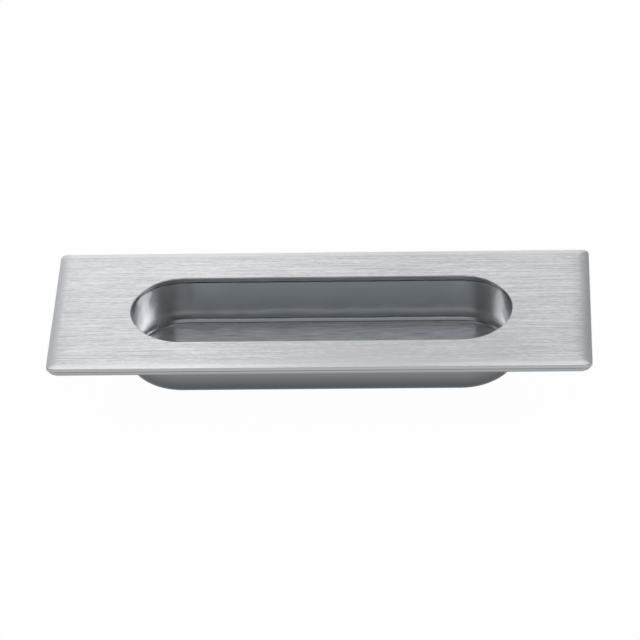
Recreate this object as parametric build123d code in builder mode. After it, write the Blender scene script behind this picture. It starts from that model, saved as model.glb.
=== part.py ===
from build123d import *
import os

# Recessed pull handle in stainless steel, in millimetres.
# A flat cover plate with an obround finger opening lies on the flange of a drawn obround cup.
# The two sheets have the same outline, so their joint shows as a seam round the plate's edge
# and again just under the rim of the opening.
# +X runs along the handle and +Z points out of the face. The origin is at the middle of the
# seat, the plane where the flange's underside lies on the door or drawer front.

# Cover plate
plate_length = 120.0
plate_width = 42.0
plate_thickness = 1.0
plate_corner_radius = 1.5
crown_width = 4.0  # border that falls away gently towards the plate's edge
crown_drop = 0.15  # how far the border has fallen at the edge
edge_radius = 0.4  # rounding where the border meets the sheared side

# Finger opening
opening_length = 85.0
opening_width = 23.0
rim_radius = 0.3  # rounding along the opening's upper edge

# Drawn cup
handle_depth = 14.0  # from the face to the underside of the cup
cup_thickness = 1.0
flange_inset = 0.2  # the flange stops this far inside the plate's outline
flange_corner_radius = 2.5
flange_edge_radius = 0.3  # along its upper edge, which leaves a groove under the plate
lip = 0.9  # the plate overhangs the cup's wall by this much all round
wall_draft = 0.5  # degrees
floor_radius = 2.0  # inside, between the wall and the floor
bend_radius = 0.3  # under the flange, where the sheet turns down into the wall

# Levels
seat_level = 0.0
flange_top = seat_level + cup_thickness
face_level = flange_top + plate_thickness
cup_underside = face_level - handle_depth
floor_level = cup_underside + cup_thickness

# The cup's mouth, which stands back from the finger opening
mouth_length = opening_length + 2 * lip
mouth_width = opening_width + 2 * lip


def crowned_section(plane, span):
    """Section of the plate: flat underneath, its top falling away in an arc at both ends."""
    end = span / 2
    flat = end - crown_width
    edge_level = face_level - crown_drop
    with BuildSketch(plane) as section:
        with BuildLine():
            Line((-flat, face_level), (flat, face_level))
            TangentArc((flat, face_level), (end, edge_level), tangent=(1, 0))
            Polyline((end, edge_level), (end, flange_top), (-end, flange_top), (-end, edge_level))
            TangentArc((-flat, face_level), (-end, edge_level), tangent=(-1, 0))
        make_face()
    return section.sketch


with BuildPart() as face_plate:
    with BuildSketch(Plane.XY.offset(flange_top)):
        RectangleRounded(plate_length, plate_width, plate_corner_radius)
    extrude(amount=plate_thickness)
    fillet(face_plate.faces().sort_by(Axis.Z)[-1].edges(), radius=edge_radius)
    extrude(crowned_section(Plane.XZ, plate_length), amount=plate_width, both=True, mode=Mode.INTERSECT)
    extrude(crowned_section(Plane.YZ, plate_width), amount=plate_length, both=True, mode=Mode.INTERSECT)

    with BuildSketch(Plane.XY.offset(face_level)):
        SlotOverall(opening_length, opening_width)
    extrude(amount=-plate_thickness, mode=Mode.SUBTRACT)
    face = face_plate.faces().sort_by(Axis.Z)[-1]
    fillet(face.inner_wires()[0].edges(), radius=rim_radius)

with BuildPart() as cup:
    with BuildSketch(Plane.XY.offset(seat_level)):
        RectangleRounded(
            plate_length - 2 * flange_inset,
            plate_width - 2 * flange_inset,
            flange_corner_radius,
        )
    extrude(amount=cup_thickness)
    fillet(cup.faces().sort_by(Axis.Z)[-1].edges(), radius=flange_edge_radius)

    # Outside of the drawn well
    with BuildSketch(Plane.XY.offset(flange_top)):
        SlotOverall(mouth_length + 2 * cup_thickness, mouth_width + 2 * cup_thickness)
    extrude(amount=cup_underside - flange_top, taper=wall_draft)
    fillet(cup.faces().sort_by(Axis.Z)[0].edges(), radius=floor_radius + cup_thickness)

    # Inside of the well, one sheet's thickness away from the outside
    with BuildSketch(Plane.XY.offset(flange_top)):
        SlotOverall(mouth_length, mouth_width)
    extrude(amount=floor_level - flange_top, taper=wall_draft, mode=Mode.SUBTRACT)
    floor = cup.faces().filter_by(Plane.XY).sort_by(Axis.Z)[1]
    fillet(floor.edges(), radius=floor_radius)

    # Bend between flange and wall, on both sides of the sheet
    seat = cup.faces().filter_by(Plane.XY).sort_by(Axis.Z)[2]
    fillet(seat.inner_wires()[0].edges(), radius=bend_radius)
    mouth = cup.faces().sort_by(Axis.Z)[-1]
    fillet(mouth.inner_wires()[0].edges(), radius=bend_radius + cup_thickness)

face_plate.part.label = "face_plate"
cup.part.label = "cup"

os.makedirs("parts", exist_ok=True)
export_step(face_plate.part, "parts/face_plate.step")
export_step(cup.part, "parts/cup.step")
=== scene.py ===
import math

import bpy
from mathutils import Matrix, Vector


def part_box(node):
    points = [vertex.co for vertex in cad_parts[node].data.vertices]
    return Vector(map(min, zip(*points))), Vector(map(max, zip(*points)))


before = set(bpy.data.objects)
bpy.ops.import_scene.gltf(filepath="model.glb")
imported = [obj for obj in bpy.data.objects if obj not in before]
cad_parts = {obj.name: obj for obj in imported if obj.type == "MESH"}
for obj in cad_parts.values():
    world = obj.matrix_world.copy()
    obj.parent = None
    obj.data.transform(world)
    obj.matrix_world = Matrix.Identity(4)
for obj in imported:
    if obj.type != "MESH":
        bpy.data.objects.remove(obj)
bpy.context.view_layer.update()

plateLow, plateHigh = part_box("face_plate")
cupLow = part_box("cup")[0]
mm = 0.001
perMetre = 1000.0        # mm in a metre
print("frame loaded:", sorted(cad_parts))

viewpoint = {
    "azimuth": 3.58,         # degrees to the right of straight on
    "elevation": 37.8,       # degrees above the face
    "roll": -2.73,           # degrees
    "distance": 862.8 * mm,
    "focalPixels": 3868.0,
    "imageSize": 640.0,      # pixels, square
    "faceCentreX": 321.2,    # the pixel where the middle of the face lands
    "faceCentreY": 308.2,
    "sensor": 36.0,          # mm
    "nearClip": 0.01,        # metres
    "farClip": 50.0,
}


def aim(azimuth, elevation):
    # unit vector from the handle: (sin a cos e, -cos a cos e, sin e), so azimuth 0 is in front
    a, e = math.radians(azimuth), math.radians(elevation)
    return Vector((math.sin(a) * math.cos(e), -math.cos(a) * math.cos(e), math.sin(e)))


def addCamera(view):
    # axes: back = aim, right = Z x back, up = back x right, then right and up turned by the roll
    back = aim(view["azimuth"], view["elevation"])
    roll = math.radians(view["roll"])
    right = Vector((0, 0, 1)).cross(back).normalized()
    up = back.cross(right)
    rolledRight = right * math.cos(roll) + up * math.sin(roll)
    rolledUp = up * math.cos(roll) - right * math.sin(roll)
    # the middle of the face lies off the camera's axis by pixels / focal length * distance
    middle = view["imageSize"] / 2
    offsetX = (view["faceCentreX"] - middle) / view["focalPixels"] * view["distance"]
    offsetY = (middle - view["faceCentreY"]) / view["focalPixels"] * view["distance"]
    faceCentre = Vector((0, 0, plateHigh.z))
    data = bpy.data.cameras.new("camera")
    data.sensor_width = view["sensor"]
    data.lens = view["focalPixels"] * view["sensor"] / view["imageSize"]
    data.clip_start = view["nearClip"]
    data.clip_end = view["farClip"]
    camera = bpy.data.objects.new("camera", data)
    camera.matrix_world = Matrix((rolledRight, rolledUp, back)).transposed().to_4x4()
    camera.location = (faceCentre - rolledRight * offsetX - rolledUp * offsetY
                       + back * view["distance"])
    bpy.context.scene.collection.objects.link(camera)
    bpy.context.scene.camera = camera


addCamera(viewpoint)
print("camera placed")


def feed(tree, socket, value):
    # a (node, output) pair is linked to the socket, and a plain value is set on it
    if isinstance(value, tuple) and isinstance(value[0], bpy.types.Node):
        tree.links.new(value[0].outputs[value[1]], socket)
    else:
        socket.default_value = value


def addNode(tree, kind, inputs=(), **settings):
    # one node with its settings and its inputs
    node = tree.nodes.new(kind)
    for name, value in settings.items():
        setattr(node, name, value)
    for name, value in dict(inputs).items():
        feed(tree, node.inputs[name], value)
    return node


def calc(tree, operation, a, b=0.0, clamp=False):
    # a operation b, held within 0..1 where clamp is set
    node = addNode(tree, "ShaderNodeMath", {0: a, 1: b}, operation=operation, use_clamp=clamp)
    return node, 0


def plus(tree, a, b, clamp=False):
    # a + b
    return calc(tree, "ADD", a, b, clamp)


def minus(tree, a, b):
    # a - b
    return calc(tree, "SUBTRACT", a, b)


def times(tree, first, *others):
    # all the values multiplied, from left to right
    product = first
    for value in others:
        product = calc(tree, "MULTIPLY", product, value)
    return product


def around(tree, value, spread):
    # (value - 0.5) * spread: a pattern of 0..1 turned into a shift to both sides
    return times(tree, minus(tree, value, 0.5), spread)


def ramp(tree, value, reach, start=0.0, end=1.0):
    # straight line from start at reach[0] to end at reach[1], held at both ends
    node = addNode(tree, "ShaderNodeMapRange", {"Value": value, "From Min": reach[0],
                                                "From Max": reach[1], "To Min": start,
                                                "To Max": end})
    return node, 0


def rampMm(tree, value, reach, start=0.0, end=1.0):
    # the same line, with its reach in mm
    return ramp(tree, value, (reach[0] * mm, reach[1] * mm), start, end)


def mixValues(tree, share, a, b):
    # a + (b - a) * share
    node = addNode(tree, "ShaderNodeMix", {0: share, 2: a, 3: b})
    return node, 0


def blend(tree, share, a, b):
    # the same for colours, which have the Mix node's sockets 6 and 7 and its output 2
    node = addNode(tree, "ShaderNodeMix", {"Factor": share, 6: a, 7: b}, data_type="RGBA")
    return node, 2


def split(tree, vector):
    # the x, y and z of a vector
    node = addNode(tree, "ShaderNodeSeparateXYZ", {"Vector": vector})
    return (node, "X"), (node, "Y"), (node, "Z")


def newGroup(name, inputs, output):
    # an empty node group: an input is a number, or a vector where its value is None
    tree = bpy.data.node_groups.new(name, "ShaderNodeTree")
    for label, value in inputs.items():
        kind = "NodeSocketVector" if value is None else "NodeSocketFloat"
        socket = tree.interface.new_socket(label, in_out="INPUT", socket_type=kind)
        if value is not None:
            socket.default_value = value
    tree.interface.new_socket(output, in_out="OUTPUT", socket_type="NodeSocketFloat")
    return tree, tree.nodes.new("NodeGroupInput"), tree.nodes.new("NodeGroupOutput")


def makeStrokes():
    # noise of (x / length + seed, y / pitch, z / pitch + seed): strokes that are long in X and
    # thin across, with length and pitch in mm
    tree, start, end = newGroup("straightStrokes", {"Vector": None, "Length": 6.0, "Pitch": 0.25,
                                                    "Seed": 0.0}, "Strokes")
    along = calc(tree, "DIVIDE", perMetre, (start, "Length"))
    across = calc(tree, "DIVIDE", perMetre, (start, "Pitch"))
    scale = addNode(tree, "ShaderNodeCombineXYZ", {"X": along, "Y": across, "Z": across})
    shift = addNode(tree, "ShaderNodeCombineXYZ", {"X": (start, "Seed"), "Z": (start, "Seed")})
    place = addNode(tree, "ShaderNodeVectorMath", {0: (start, "Vector"), 1: (scale, 0),
                                                   2: (shift, 0)}, operation="MULTIPLY_ADD")
    noise = addNode(tree, "ShaderNodeTexNoise", {"Vector": (place, 0), "Scale": 1.0,
                                                 "Detail": 1.6, "Roughness": 0.55})
    feed(tree, end.inputs["Strokes"], (noise, 0))
    return tree


def makeClouds():
    # noise of (x / size + seed, y / size + seed, z / size), then (noise - 0.5) * contrast + 0.5 held
    # within 0..1: soft patches, with the size in mm
    tree, start, end = newGroup("softClouds", {"Vector": None, "Size": 10.0, "Contrast": 2.0,
                                               "Seed": 0.0}, "Clouds")
    scale = calc(tree, "DIVIDE", perMetre, (start, "Size"))
    shift = addNode(tree, "ShaderNodeCombineXYZ", {"X": (start, "Seed"), "Y": (start, "Seed")})
    sized = addNode(tree, "ShaderNodeVectorMath", {0: (start, "Vector"), "Scale": scale},
                    operation="SCALE")
    place = addNode(tree, "ShaderNodeVectorMath", {0: (sized, 0), 1: (shift, 0)}, operation="ADD")
    noise = addNode(tree, "ShaderNodeTexNoise", {"Vector": (place, 0), "Scale": 1.0,
                                                 "Detail": 1.5, "Roughness": 0.45})
    pushed = around(tree, (noise, 0), (start, "Contrast"))
    feed(tree, end.inputs["Clouds"], plus(tree, pushed, 0.5, clamp=True))
    return tree


strokesGroup = makeStrokes()
cloudsGroup = makeClouds()


def strokes(tree, place, length, pitch, seed):
    # the strokes' group at a place, with its length and pitch in mm
    values = {"Vector": place, "Length": length, "Pitch": pitch, "Seed": seed}
    return addNode(tree, "ShaderNodeGroup", values, node_tree=strokesGroup), 0


def clouds(tree, place, size, contrast, seed):
    # the patches' group at a place, with its size in mm
    values = {"Vector": place, "Size": size, "Contrast": contrast, "Seed": seed}
    return addNode(tree, "ShaderNodeGroup", values, node_tree=cloudsGroup), 0


def newSteel(name):
    # a metal material, its tree and shader, and the place and the normal of each point
    material = bpy.data.materials.new(name)
    material.use_nodes = True
    tree = material.node_tree
    shader = tree.nodes["Principled BSDF"]
    shader.inputs["Metallic"].default_value = 1.0
    coords = tree.nodes.new("ShaderNodeTexCoord")
    return material, tree, shader, (coords, "Object"), (coords, "Normal")


# reaches are pairs: where an effect is nothing and where it is full
brushedFace = {
    "darkSteel": (0.53, 0.54, 0.56, 1),
    "brightSteel": (0.89, 0.90, 0.92, 1),
    "strokeLength": 15.0,        # mm, the long brush marks
    "strokePitch": 0.12,
    "fineLength": 1.5,           # mm, the hairline grain between them
    "finePitch": 0.07,
    "contrast": 6.0,             # how far the marks push the tone from the middle
    "border": (1.2, 3.2),        # mm from the outline, over which the marks come in
    "borderShare": 0.35,         # what shows of them at the outline
    "patchSize": 30.0,           # mm
    "patchContrast": 1.8,
    "patchShare": 0.35,          # how far the patches shift the tone
    "farSideLightDrift": 9.0,                # painted light: the tone rises by this per metre towards the far long side
    "sideHighlightShare": 0.3,             # painted highlight: the long edges are brighter
    "sideHighlightReach": (1.7, 1.0),     # mm from the edge
    "endShadeShare": 0.6,              # and painted shade darkens the short ones
    "endShadeReach": (2.4, 0.2),     # mm from the edge
    "middleShade": 0.62,          # painted shade: the middle of the near side is darker too
    "middleX": 14.0,             # mm
    "middleReach": (40.0, 4.0),  # mm to either side of middleX
    "middleFar": 0.45,           # the share of it at the far side
    "roughness": (0.28, 0.34),
    "roughReach": (0.3, 0.7),    # the values of marks and patches that give the two roughnesses
    "grainHeight": 0.010 * mm,
    "longHeight": 1.5,           # height of the long marks against the fine ones
    "shadedEdgeSteel": (0.43, 0.44, 0.45, 1),  # the sheared sides: a duller finish, and darker still as painted shade
    "edgeFacing": (0.93, 0.6),           # upward share of the normal
    "seamShadeSteel": (0.31, 0.32, 0.33, 1),  # painted shade on their lower edge, above the seam
    "seamHeight": (0.22, 0.08),          # mm above the plate's underside
    "seamInset": (1.5, 0.5),             # mm from the outline
}


def makeBrushedFace(look):
    # tone = marks * contrast + 0.5 + patches + painted light towards the far side + painted
    # highlight on the long sides - painted shade at the ends - painted shade in the middle, and the
    # colour goes from dark to bright steel with it
    material, tree, shader, place, normal = newSteel("brushedFace")
    long = strokes(tree, place, look["strokeLength"], look["strokePitch"], seed=3.0)
    fine = strokes(tree, place, look["fineLength"], look["finePitch"], seed=11.0)
    patches = clouds(tree, place, look["patchSize"], look["patchContrast"], seed=5.0)
    x, y, z = split(tree, place)
    upward = split(tree, normal)[2]
    # the distance to the outline is the smaller of the distances to its short and long edges
    toEnd = minus(tree, plateHigh.x, calc(tree, "ABSOLUTE", x))
    toSide = minus(tree, plateHigh.y, calc(tree, "ABSOLUTE", y))
    inset = calc(tree, "MINIMUM", toEnd, toSide)
    faded = rampMm(tree, inset, look["border"], look["borderShare"], 1.0)
    marks = plus(tree, times(tree, long, 0.5), times(tree, fine, 0.5))    # the mean of the two
    tone = plus(tree, times(tree, around(tree, marks, faded), look["contrast"]), 0.5)
    uneven = around(tree, patches, look["patchShare"])
    # painted light: the tone rises towards the far long side
    uneven = plus(tree, uneven, times(tree, y, look["farSideLightDrift"]))
    # painted highlight along the long edges
    paintedSideHighlight = times(tree, rampMm(tree, toSide, look["sideHighlightReach"]), look["sideHighlightShare"])
    # painted shade along the short edges
    paintedEndShade = times(tree, rampMm(tree, toEnd, look["endShadeReach"]), look["endShadeShare"])
    uneven = plus(tree, uneven, minus(tree, paintedSideHighlight, paintedEndShade))
    # painted shade in the middle of the near side, with less of it at the far side
    away = calc(tree, "ABSOLUTE", minus(tree, x, look["middleX"] * mm))
    middleShade = times(tree, rampMm(tree, away, look["middleReach"], 0.0, look["middleShade"]),
                       ramp(tree, y, (plateHigh.y, plateLow.y), look["middleFar"], 1.0))
    uneven = minus(tree, uneven, middleShade)
    tone = plus(tree, tone, uneven, clamp=True)
    face = blend(tree, tone, look["darkSteel"], look["brightSteel"])
    # the sheared sides are where the surface no longer faces up; their darker tone is partly painted
    # shade, and painted shade darkens them just above the seam
    onEdge = ramp(tree, calc(tree, "ABSOLUTE", upward), look["edgeFacing"])
    seamHeights = [plateLow.z + height * mm for height in look["seamHeight"]]
    # painted shade just above the seam
    nearSeam = times(tree, ramp(tree, z, seamHeights), rampMm(tree, inset, look["seamInset"]))
    side = blend(tree, nearSeam, look["shadedEdgeSteel"], look["seamShadeSteel"])
    feed(tree, shader.inputs["Base Color"], blend(tree, onEdge, face, side))
    # roughness follows half the long marks and half the patches
    mixed = plus(tree, times(tree, long, 0.5), times(tree, patches, 0.5))
    feed(tree, shader.inputs["Roughness"], ramp(tree, mixed, look["roughReach"],
                                                *look["roughness"]))
    # the marks' height is fine + long * longHeight, faded at the border like their tone
    height = times(tree, plus(tree, fine, times(tree, long, look["longHeight"])), faded)
    bump = addNode(tree, "ShaderNodeBump", {"Strength": 1.0, "Distance": look["grainHeight"],
                                            "Height": height})
    feed(tree, shader.inputs["Normal"], (bump, 0))
    return material


# heights are in mm above the flange's underside, facings are the upward share of the normal, and
# pairs are again where an effect is nothing and where it is full
drawnCup = {
    "centreHalf": 31.0,                      # mm, half the distance between the end arcs' centres
    "outsideReach": (0.0, 0.5),              # mm of the outward sum, from the inside to the outside
    "outsideFacing": -0.4,                   # below this a surface is the underside
    "wallSteel": (0.385, 0.41, 0.43, 1),
    "wallLitSteel": (0.60, 0.63, 0.65, 1),     # painted light: towards the rim, and on a band above the floor's radius
    "rimHeight": (-6.5, -1.0),
    "rimLightShare": 0.8,
    "lightBandAbove": (-7.2, -8.0),              # the painted light band lies above the floor's radius
    "lightBandBelow": (-9.0, -8.2),
    "lightBandShare": 0.6,
    "ringLength": 60.0,                      # mm, faint rings round the wall
    "ringPitch": 0.8,
    "ringShare": 0.25,
    "patchSize": 9.0,                        # mm
    "patchContrast": 1.8,
    "heightWander": 1.0,                     # mm, how far the patches move the heights on the wall
    "endLitSteel": (0.94, 0.965, 0.985, 1),     # painted light: the round ends are lighter
    "endReach": (34.5, 40.0),                # mm from the middle of the handle
    "endFacing": (0.5, 0.15),
    "endHeight": (-1.0, -7.0),
    "endAtRim": 0.5,                         # the share of it near the rim
    "floorDark": (0.50, 0.52, 0.54, 1),
    "floorBright": (0.97, 0.98, 1.0, 1),
    "floorFacing": (0.9, 0.99),
    "grainLength": 6.0,                      # mm, the brush marks on the floor
    "grainPitch": 0.22,
    "grainShare": 0.7,
    "hairLength": 3.0,                       # mm, and the finer ones
    "hairPitch": 0.07,
    "hairShare": 0.3,
    "floorContrast": 3.8,
    "floorMiddle": 0.64,                     # the floor's tone between dark and bright
    "lighterReach": (29.0, 38.0),            # mm from the middle, over which painted light makes the floor lighter
    "lighterShare": 0.35,
    "lineShare": 0.8,                        # painted highlight: the bright line along the floor's radius
    "lineInner": (1.0, 0.97),
    "lineOuter": (0.84, 0.9),
    "lineEnds": (0.3, 0.0),                  # it stops where the round ends start
    "grooveShadeSteel": (0.10, 0.11, 0.12, 1),    # painted shade in the groove under the plate, inside the recess
    "grooveHeight": (-0.15, 0.1),
    # the outside's tone: a duller finish, darkened further by painted shade
    "shadedOutsideSteel": (0.28, 0.30, 0.312, 1),
    "footShadeSteel": (0.035, 0.038, 0.042, 1),  # painted shade: darker towards the foot of the outside wall
    "footHeight": (-4.0, -11.5),
    "footFacing": (-0.95, -0.7),
    "shadedFlangeSteel": (0.40, 0.41, 0.42, 1),    # the sheared side of the flange: a duller finish, and darker still as painted shade
    "flangeHeight": (0.1, 0.4),
    "seamShadeSteel": (0.17, 0.18, 0.19, 1),      # painted shade on the flange's upper edge, below the seam
    "seamHeight": (0.68, 0.76),
    "seamFacing": (-0.5, 0.0),
    "wallRoughness": (0.20, 0.24),
    "endRoughness": 0.08,                    # added at the round ends
    "floorRoughness": 0.33,
    "outsideRoughness": 0.38,
    "grainHeight": 0.008 * mm,
    "waveHeight": 0.55 * mm,                 # the drawn wall isn't quite flat
    "waveSize": 6.0,                         # mm
    "waveContrast": 1.0,
    "waveFacing": (0.8, 0.3),
    "waveStraight": 0.2,                     # the waves' share on the straight walls
    "waveOutside": 0.15,                     # and on the outside
}


def makeDrawnCup(look):
    # colour and roughness go from the wall to the floor by the normal, then from the inside to
    # the outside by the outward sum
    material, tree, shader, place, normal = newSteel("drawnCup")
    x, y, z = split(tree, place)
    normalX, normalY, upward = split(tree, normal)
    fromMiddle = calc(tree, "ABSOLUTE", x)
    # outward = normal . (x - clamp(x), y): positive on the outside, as seen from the centre line
    nearest = addNode(tree, "ShaderNodeClamp", {"Value": x, "Min": -look["centreHalf"] * mm,
                                                "Max": look["centreHalf"] * mm})
    outward = plus(tree, times(tree, minus(tree, x, (nearest, 0)), normalX),
                   times(tree, y, normalY))
    outside = rampMm(tree, outward, look["outsideReach"])
    outside = calc(tree, "MAXIMUM", outside,
                   calc(tree, "LESS_THAN", upward, look["outsideFacing"]))
    onFloor = ramp(tree, upward, look["floorFacing"])
    atEnds = rampMm(tree, fromMiddle, look["endReach"])
    grain = strokes(tree, place, look["grainLength"], look["grainPitch"], seed=21.0)
    hairs = strokes(tree, place, look["hairLength"], look["hairPitch"], seed=31.0)
    rings = strokes(tree, place, look["ringLength"], look["ringPitch"], seed=41.0)
    patches = clouds(tree, place, look["patchSize"], look["patchContrast"], seed=51.0)
    # wall: painted light towards the rim and on a band above the floor's radius, with rings, and
    # painted light that makes the round ends lighter
    height = plus(tree, z, around(tree, patches, look["heightWander"] * mm))
    paintedLightBand = times(tree, rampMm(tree, height, look["lightBandAbove"]),
                  rampMm(tree, height, look["lightBandBelow"]))
    paintedWallLight = plus(tree, rampMm(tree, height, look["rimHeight"], 0.0, look["rimLightShare"]),
                 times(tree, paintedLightBand, look["lightBandShare"]))
    paintedWallLight = plus(tree, paintedWallLight, times(tree, rings, look["ringShare"]), clamp=True)
    wall = blend(tree, paintedWallLight, look["wallSteel"], look["wallLitSteel"])
    # painted light on the round ends, less of it near the rim
    paintedEndLight = times(tree, atEnds, ramp(tree, upward, look["endFacing"]),
                    rampMm(tree, height, look["endHeight"], look["endAtRim"], 1.0))
    wall = blend(tree, paintedEndLight, wall, look["endLitSteel"])
    # floor: tone = marks * contrast + middle, and painted light that makes it lighter towards its
    # ends
    marks = plus(tree, times(tree, grain, look["grainShare"]),
                 times(tree, hairs, look["hairShare"]))
    floorTone = plus(tree, around(tree, marks, look["floorContrast"]), look["floorMiddle"],
                     clamp=True)
    lighter = rampMm(tree, fromMiddle, look["lighterReach"], 0.0, look["lighterShare"])
    floorTone = plus(tree, floorTone, lighter, clamp=True)
    floor = blend(tree, floorTone, look["floorDark"], look["floorBright"])
    inside = blend(tree, onFloor, wall, floor)
    # the painted highlight line lies where the floor's radius is still nearly level, on the straight
    # part
    line = times(tree, ramp(tree, upward, look["lineOuter"], 0.0, look["lineShare"]),
                 ramp(tree, upward, look["lineInner"]), ramp(tree, atEnds, look["lineEnds"]))
    inside = blend(tree, line, inside, look["floorBright"])
    # painted shade in the groove under the plate
    inside = blend(tree, rampMm(tree, z, look["grooveHeight"]), inside, look["grooveShadeSteel"])
    # outside: painted shade darker towards the foot, with the flange's side above the wall; the
    # outside and flange tones are partly painted shade too
    foot = times(tree, rampMm(tree, z, look["footHeight"]), ramp(tree, upward, look["footFacing"]))
    outsideTone = blend(tree, foot, look["shadedOutsideSteel"], look["footShadeSteel"])
    outsideTone = blend(tree, rampMm(tree, z, look["flangeHeight"]), outsideTone, look["shadedFlangeSteel"])
    colour = blend(tree, outside, inside, outsideTone)
    # painted shade on the flange's upper edge, below the seam
    inSeam = times(tree, rampMm(tree, z, look["seamHeight"]),
                   ramp(tree, upward, look["seamFacing"]))
    feed(tree, shader.inputs["Base Color"], blend(tree, inSeam, colour, look["seamShadeSteel"]))
    wallRough = ramp(tree, patches, (0.0, 1.0), *look["wallRoughness"])
    wallRough = plus(tree, wallRough, times(tree, atEnds, look["endRoughness"]))
    rough = mixValues(tree, onFloor, wallRough, look["floorRoughness"])
    rough = mixValues(tree, outside, rough, look["outsideRoughness"])
    feed(tree, shader.inputs["Roughness"], rough)
    # soft waves on the walls, strongest at the round ends, and the hairs' height on the floor
    waves = clouds(tree, place, look["waveSize"], look["waveContrast"], seed=61.0)
    waveShare = times(tree, ramp(tree, atEnds, (0.0, 1.0), look["waveStraight"], 1.0),
                      ramp(tree, upward, look["waveFacing"]),
                      ramp(tree, outside, (0.0, 1.0), 1.0, look["waveOutside"]))
    waved = addNode(tree, "ShaderNodeBump", {"Strength": 1.0, "Distance": look["waveHeight"],
                                             "Height": times(tree, waves, waveShare)})
    grained = addNode(tree, "ShaderNodeBump", {"Strength": 1.0, "Distance": look["grainHeight"],
                                               "Height": times(tree, hairs, onFloor),
                                               "Normal": (waved, 0)})
    feed(tree, shader.inputs["Normal"], (grained, 0))
    return material


def dress(node, material):
    # the node keeps its mesh and gets the material as its only one
    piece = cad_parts[node]
    piece.data.materials.clear()
    piece.data.materials.append(material)


dress("face_plate", makeBrushedFace(brushedFace))
dress("cup", makeDrawnCup(drawnCup))
print("materials made")

plainWhite = (1, 1, 1, 1)
studio = {
    "floorHalf": 6.0,         # metres
    "floorGap": 0.02 * mm,    # so that the floor and the underside don't share one plane
    "floorColour": (0.95, 0.95, 0.95, 1),
    "whiteShare": 0.98,       # plain white in what the camera and the metal see of the floor
    "horizon": (0.10, 0.08),  # sines of elevation where the metal's white backdrop ends and is full
    "worldLevel": 0.1,
    "lampDistance": 2.0,      # metres
}
softboxes = {                 # degrees to the right of straight on, up and across, and brightness
    "backBox": {"azimuth": 186, "elevation": 33, "wide": 22, "high": 22, "level": 0.95},
    "backEdgeBox": {"azimuth": 183, "elevation": 52, "wide": 20, "high": 12, "level": 1.4},
    "backHighBox": {"azimuth": 222, "elevation": 58, "wide": 42, "high": 20, "level": 0.5},
    "topBox": {"azimuth": 180, "elevation": 75, "wide": 36, "high": 30, "level": 0.8},
    "rightBox": {"azimuth": 101, "elevation": 35, "wide": 30, "high": 24, "level": 2.8},
    "leftBox": {"azimuth": -103, "elevation": 35, "wide": 28, "high": 24, "level": 2.2},
    "frontBox": {"azimuth": 0, "elevation": 22, "wide": 62, "high": 14, "level": 1.5},
    "frontStrip": {"azimuth": -3, "elevation": 46, "wide": 40, "high": 40, "level": 0.40},
    "rightFill": {"azimuth": 136, "elevation": 30, "wide": 38, "high": 40, "level": 0.25},
    "leftFill": {"azimuth": -136, "elevation": 24, "wide": 42, "high": 40, "level": 0.25},
    "frontRightFill": {"azimuth": 52, "elevation": 14, "wide": 46, "high": 22, "level": 0.18},
    "frontLeftFill": {"azimuth": -52, "elevation": 14, "wide": 46, "high": 22, "level": 0.18},
}


def seenRays(tree):
    # cameraRay is 1 for what the camera sees itself, and seen is the largest of camera, glossy and
    # transmission ray, so it is 1 also for what shows in metal or glass
    rays = tree.nodes.new("ShaderNodeLightPath")
    cameraRay = (rays, "Is Camera Ray")
    mirrored = calc(tree, "MAXIMUM", (rays, "Is Glossy Ray"), (rays, "Is Transmission Ray"))
    return cameraRay, calc(tree, "MAXIMUM", cameraRay, mirrored)


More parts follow.
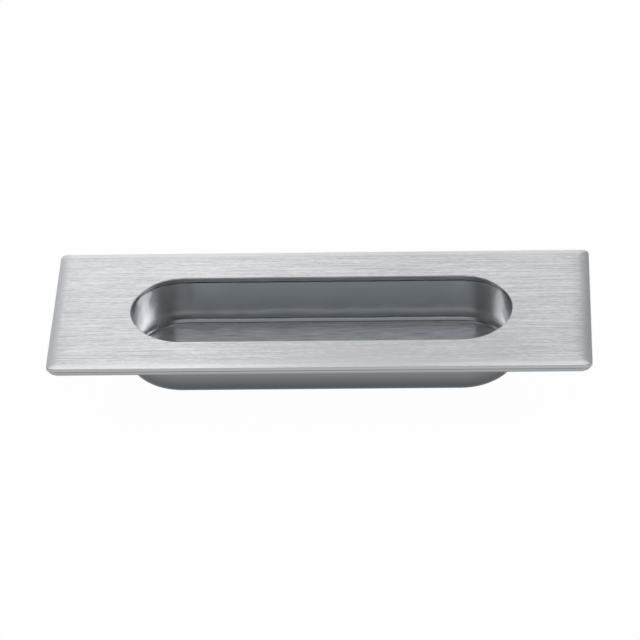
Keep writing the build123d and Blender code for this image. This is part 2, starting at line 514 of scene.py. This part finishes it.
def addFloor(values):
    # a square just below the cup's underside: diffuse, and plain white by whiteShare where seen
    half, level = values["floorHalf"], cupLow.z - values["floorGap"]
    corners = [(-half, -half, level), (half, -half, level), (half, half, level),
               (-half, half, level)]
    mesh = bpy.data.meshes.new("floor")
    mesh.from_pydata(corners, [], [(0, 1, 2, 3)])
    floor = bpy.data.objects.new("floor", mesh)
    bpy.context.scene.collection.objects.link(floor)
    material = bpy.data.materials.new("floor")
    material.use_nodes = True
    tree = material.node_tree
    tree.nodes.clear()
    diffuse = addNode(tree, "ShaderNodeBsdfDiffuse", {"Color": values["floorColour"]})
    white = addNode(tree, "ShaderNodeEmission", {"Color": plainWhite, "Strength": 1.0})
    cameraRay, seen = seenRays(tree)
    mixed = addNode(tree, "ShaderNodeMixShader", {0: times(tree, seen, values["whiteShare"]),
                                                  1: (diffuse, 0), 2: (white, 0)})
    # from below the floor is clear to the camera, so that the underside can be looked at
    clear = addNode(tree, "ShaderNodeBsdfTransparent", {"Color": plainWhite})
    geometry = tree.nodes.new("ShaderNodeNewGeometry")
    behind = times(tree, (geometry, "Backfacing"), cameraRay)
    shown = addNode(tree, "ShaderNodeMixShader", {0: behind, 1: (mixed, 0), 2: (clear, 0)})
    addNode(tree, "ShaderNodeOutputMaterial", {"Surface": (shown, 0)})
    mesh.materials.append(material)


def addWorld(values):
    # strength = worldLevel, but 1 to the camera, and 1 to the metal below the horizon's band
    world = bpy.data.worlds.new("studio")
    world.use_nodes = True
    tree = world.node_tree
    sky = tree.nodes["Background"]
    sky.inputs["Color"].default_value = plainWhite
    direction = tree.nodes.new("ShaderNodeTexCoord")
    rise = split(tree, (direction, "Generated"))[2]
    cameraRay, seen = seenRays(tree)
    nearHorizon = times(tree, seen, ramp(tree, rise, values["horizon"]))
    white = calc(tree, "MAXIMUM", nearHorizon, cameraRay)
    feed(tree, sky.inputs["Strength"], ramp(tree, white, (0.0, 1.0), values["worldLevel"], 1.0))
    bpy.context.scene.world = world


def addSoftbox(name, box, distance):
    # a flat lamp that faces the handle: side = 2 * distance * tan(angle / 2), and its power is
    # area * pi * level
    direction = aim(box["azimuth"], box["elevation"])
    data = bpy.data.lights.new(name, "AREA")
    data.shape = "RECTANGLE"
    data.size = 2 * distance * math.tan(math.radians(box["wide"] / 2))
    data.size_y = 2 * distance * math.tan(math.radians(box["high"] / 2))
    data.energy = data.size * data.size_y * math.pi * box["level"]
    lamp = bpy.data.objects.new(name, data)
    lamp.location = direction * distance
    lamp.rotation_euler = direction.to_track_quat("Z", "Y").to_euler()
    bpy.context.scene.collection.objects.link(lamp)


addFloor(studio)
addWorld(studio)
for name, box in softboxes.items():
    addSoftbox(name, box, studio["lampDistance"])
bpy.context.scene.view_settings.view_transform = "Standard"
print("light set")
